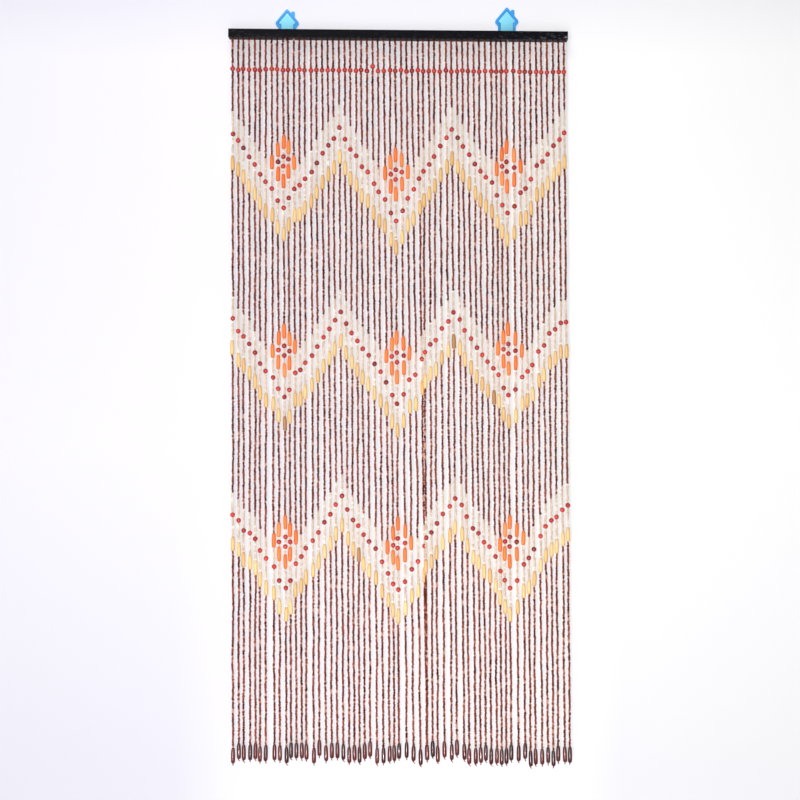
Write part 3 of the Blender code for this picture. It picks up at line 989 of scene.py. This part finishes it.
def wallFinish():
    # White paper with a painted glow, stronger towards the foot, so the strings throw only soft
    # shadows on it; painted light brightens it to the right and painted shade darkens its top and
    # lower corners.
    material, tree, shader = newPaper("wallPaper")
    # Painted light: the paper grows lighter and whiter from left to right.
    across = plainMask(tree, "X", studio["from"], studio["to"])
    paper = blendColours(tree, across, studio["left"], studio["right"])
    # Painted shade: the paper darkens at its lower corners and along its top.
    footward = plainMask(tree, "Z", studio["footFrom"], studio["footTo"])
    near, far = studio["cornerFrom"], studio["cornerTo"]
    beside = maths(tree, "ADD", plainMask(tree, "X", -near, -far), plainMask(tree, "X", near, far))
    paper = blendColours(tree, maths(tree, "MULTIPLY", footward, beside), paper,
                         blendColours(tree, 1.0, paper, studio["foot"], "MULTIPLY"))
    headward = plainMask(tree, "Z", studio["headFrom"], studio["headTo"])
    paper = blendColours(tree, headward, paper,
                         blendColours(tree, 1.0, paper, studio["head"], "MULTIPLY"))
    # Painted glow: the paper gives off light of its own, more towards the foot, which washes out
    # the strings' shadows on it.
    down = plainMask(tree, "Z", 0, cadBox[0][2])
    glow = remap(tree, down, 0, 1, studio["glowAtTop"], studio["glowAtFoot"])
    lit = blendColours(tree, glow, paper, (0, 0, 0, 1))
    shining = blendColours(tree, glow, (0, 0, 0, 1), paper)
    tree.links.new(lit, shader.inputs["Base Color"])
    tree.links.new(shining, shader.inputs["Emission Color"])
    shader.inputs["Emission Strength"].default_value = 1.0
    return material


def makeStudio():
    bpy.ops.object.select_all(action="DESELECT")
    bpy.ops.mesh.primitive_plane_add(size=studio["size"], rotation=(math.pi / 2, 0, 0),
                                     location=(0, studio["behind"] * mm, -1))
    wall = namePiece("wall")
    bpy.ops.object.transform_apply(location=True, rotation=True, scale=True)
    wall.data.materials.append(wallFinish())
    bpy.ops.mesh.primitive_plane_add(size=studio["size"], location=(0, 0, studio["floor"]))
    floor = namePiece("floor")
    bpy.ops.object.transform_apply(location=True, rotation=True, scale=True)
    material, tree, shader = newPaper("floorPaper")
    shader.inputs["Emission Color"].default_value = studio["floorColour"]
    shader.inputs["Emission Strength"].default_value = studio["floorGlow"]
    floor.data.materials.append(material)


lights = {
    "leftTower": {"at": (-0.8, -3.1, -1.15), "wide": 0.35, "high": 3.4, "power": 68,
                  "spread": 180, "aim": -1.15, "colour": (1.0, 0.99, 0.985)},
    "rightTower": {"at": (0.9, -3.1, -1.4), "wide": 0.6, "high": 2.6, "power": 15,
                   "spread": 180, "aim": -1.4, "colour": (0.99, 0.985, 1.0)},
    "low": {"at": (-0.3, -3.1, -2.8), "wide": 0.25, "high": 0.25, "power": 7,
            "spread": 70, "aim": -1.95, "colour": (1.0, 0.99, 0.985)},
    "above": {"at": (-0.4, -1.7, 1.7), "wide": 0.9, "high": 0.6, "power": 29,
              "spread": 180, "aim": 0, "colour": (1.0, 0.99, 0.98)},
}


room = {
    "fill": (0.95, 0.95, 1.0, 1),
    "fillStrength": 0.1,
    "backdrop": (0.72, 0.72, 0.75, 1),   # seen past the wall and floor only
}


def makeLights():
    for name, light in lights.items():
        data = bpy.data.lights.new(name, "AREA")
        data.shape = "RECTANGLE"
        data.size = light["wide"]
        data.size_y = light["high"]
        data.energy = light["power"]
        data.color = light["colour"]
        data.spread = math.radians(light["spread"])
        lamp = bpy.data.objects.new(name, data)
        lamp.location = light["at"]
        target = Vector((0, 0, light["aim"]))
        lamp.rotation_euler = (target - lamp.location).to_track_quat("-Z", "Y").to_euler()
        bpy.context.scene.collection.objects.link(lamp)
    world = bpy.data.worlds.new("room")
    world.use_nodes = True
    tree = world.node_tree
    fill = tree.nodes["Background"]
    fill.inputs["Color"].default_value = room["fill"]
    fill.inputs["Strength"].default_value = room["fillStrength"]
    backdrop = addNode(tree, "ShaderNodeBackground", {}, {"Color": room["backdrop"]})
    seen = addNode(tree, "ShaderNodeLightPath").outputs["Is Camera Ray"]
    either = addNode(tree, "ShaderNodeMixShader", {}, {0: seen, 1: fill.outputs[0],
                                                       2: backdrop.outputs[0]})
    tree.links.new(either.outputs[0], tree.nodes["World Output"].inputs["Surface"])
    bpy.context.scene.world = world
    bpy.context.scene.view_settings.view_transform = "Standard"


makeCamera()
makeStudio()
makeLights()
print("camera, wall, floor and lights set")

beadWood = makeBeadWood()
scuffs = makeScuffs()
finishes = {name: beadFinish(name + "Beads", look) for name, look in beadLooks.items()}
print("finishes made:", ", ".join(finishes))

templates = {}
for kind in beads:
    turned = turnBead(kind)
    templates[kind] = meshArrays(turned)
    bpy.data.objects.remove(turned, do_unlink=True)
print("beads turned:", ", ".join(templates))

shapes = {"brown": "small", "cream": "small", "red": "round", "orange": "orange",
          "straw": "straw", "dark": "tip", "thread": "thread", "knot": "knot",
          "tail": "thread"}
slots = {"brown": "brown_beads", "cream": "cream_beads", "red": "red_beads",
         "orange": "orange_beads", "straw": "straw_beads", "dark": "dark_beads",
         "thread": "cord", "knot": "cord", "tail": "cord"}
blackWood = railFinish()
noise = random.Random(curtain["backSeed"])
toss = random.Random(curtain["seed"])
for number, panel in enumerate(panels):
    first = number * curtain["strandsOnStrip"]
    node = "strands_" + panel
    strung = stringPanel(first, noise, toss)
    for colour, places in strung.items():
        piece = stringBeads(f"{colour}_{panel}", shapes[colour], places)
        dress(piece, finishes[colour], slots[colour], node)
    dress(makeStrip(panel, first), blackWood, "black_wood", node)
    print(panel, "panel strung:", {colour: len(places) for colour, places in strung.items()})

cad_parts["rail"].data.materials.clear()
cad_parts["rail"].data.materials.append(blackWood)
blue = plasticFinish("bluePlastic", hook["blue"], 0.38)
groove = plasticFinish("grooveBlue", hook["groove"], 0.5)
paleBlue = plasticFinish("paleBluePlastic", hook["pale"], 0.42)
cord = cordFinish()
for side in sides:
    makePlate(side, blue, groove)
    makeInlay(side, paleBlue)
    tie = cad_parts["tie_" + side]
    tie.data.materials.clear()
    tie.data.materials.append(cord)
    makeTieEnd(side, cord)
print("rail, hooks and ties finished")
